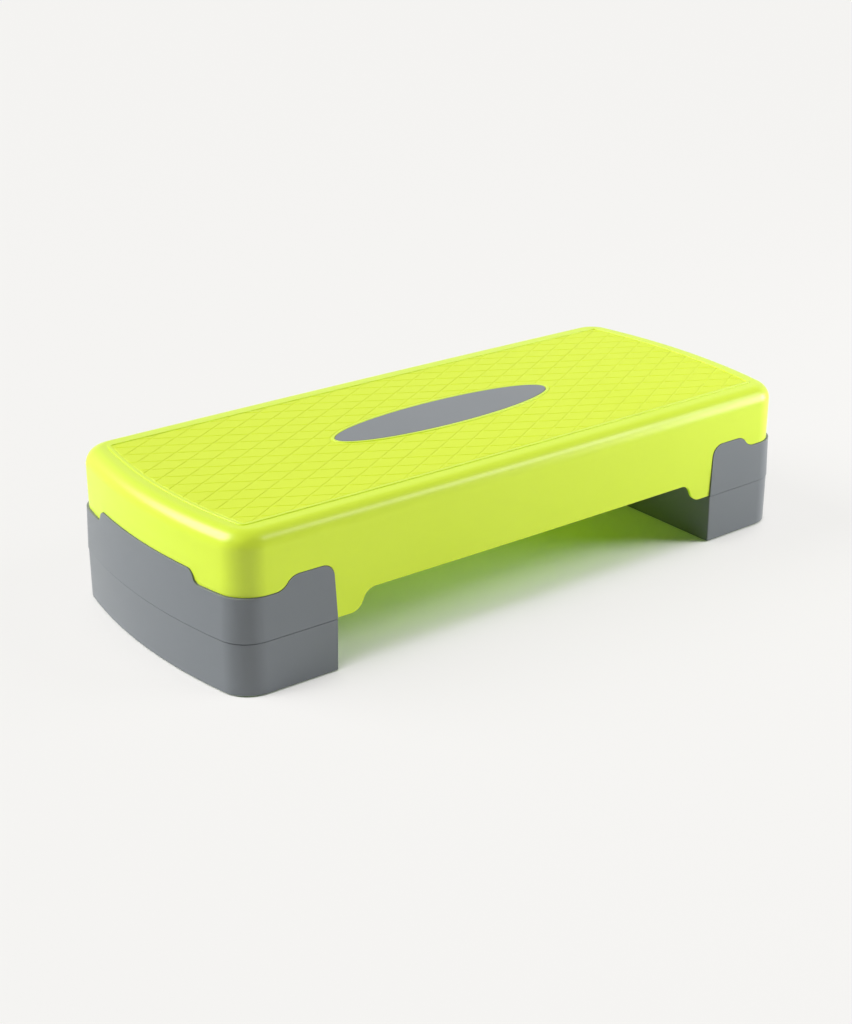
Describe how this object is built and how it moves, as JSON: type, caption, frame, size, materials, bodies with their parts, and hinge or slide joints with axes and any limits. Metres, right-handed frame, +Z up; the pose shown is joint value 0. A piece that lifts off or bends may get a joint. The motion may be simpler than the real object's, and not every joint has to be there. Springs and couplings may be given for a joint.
{
  "type": "aerobic step platform",
  "caption": "Height-adjustable aerobic step: lime deck with bowed ends, diamond tread and a grey oval plate, on grey hollow legs that stand on lift-off risers.",
  "frame": {"origin": "on the floor under the middle of the deck", "axes": "+X along the step, +Y across it, +Z up"},
  "size_m": [0.675, 0.2844, 0.148],
  "materials": {
    "lime_plastic": "satin moulded polypropylene",
    "grey_plastic": "satin moulded polypropylene",
    "rubber": "matt",
    "steel": "zinc plated"
  },
  "bodies": {
    "riser_left": {"riser_left": "grey_plastic", "riser_foot_front_inner_left": "rubber", "riser_foot_front_outer_left": "rubber", "riser_foot_rear_inner_left": "rubber", "riser_foot_rear_outer_left": "rubber"},
    "platform": {"deck": "lime_plastic", "badge_plate": "grey_plastic", "upper_leg_left": "grey_plastic", "leg_screws_left": "steel", "leg_foot_front_inner_left": "rubber", "leg_foot_front_outer_left": "rubber", "leg_foot_rear_inner_left": "rubber", "leg_foot_rear_outer_left": "rubber", "upper_leg_right": "grey_plastic", "leg_screws_right": "steel", "leg_foot_front_inner_right": "rubber", "leg_foot_front_outer_right": "rubber", "leg_foot_rear_inner_right": "rubber", "leg_foot_rear_outer_right": "rubber"},
    "riser_right": {"riser_right": "grey_plastic", "riser_foot_front_inner_right": "rubber", "riser_foot_front_outer_right": "rubber", "riser_foot_rear_inner_right": "rubber", "riser_foot_rear_outer_right": "rubber"}
  },
  "joints": [
    {"name": "platform_lift", "type": "slide", "parent": "riser_left", "child": "platform", "axis": [0, 0, 1], "range_m": [0, 0.08]},
    {"name": "riser_right_release", "type": "slide", "parent": "platform", "child": "riser_right", "axis": [0, 0, -1], "range_m": [0, 0.08]}
  ],
  "couplings": [
    {"joint": "riser_right_release", "follows": "platform_lift", "ratio": 1}
  ]
}
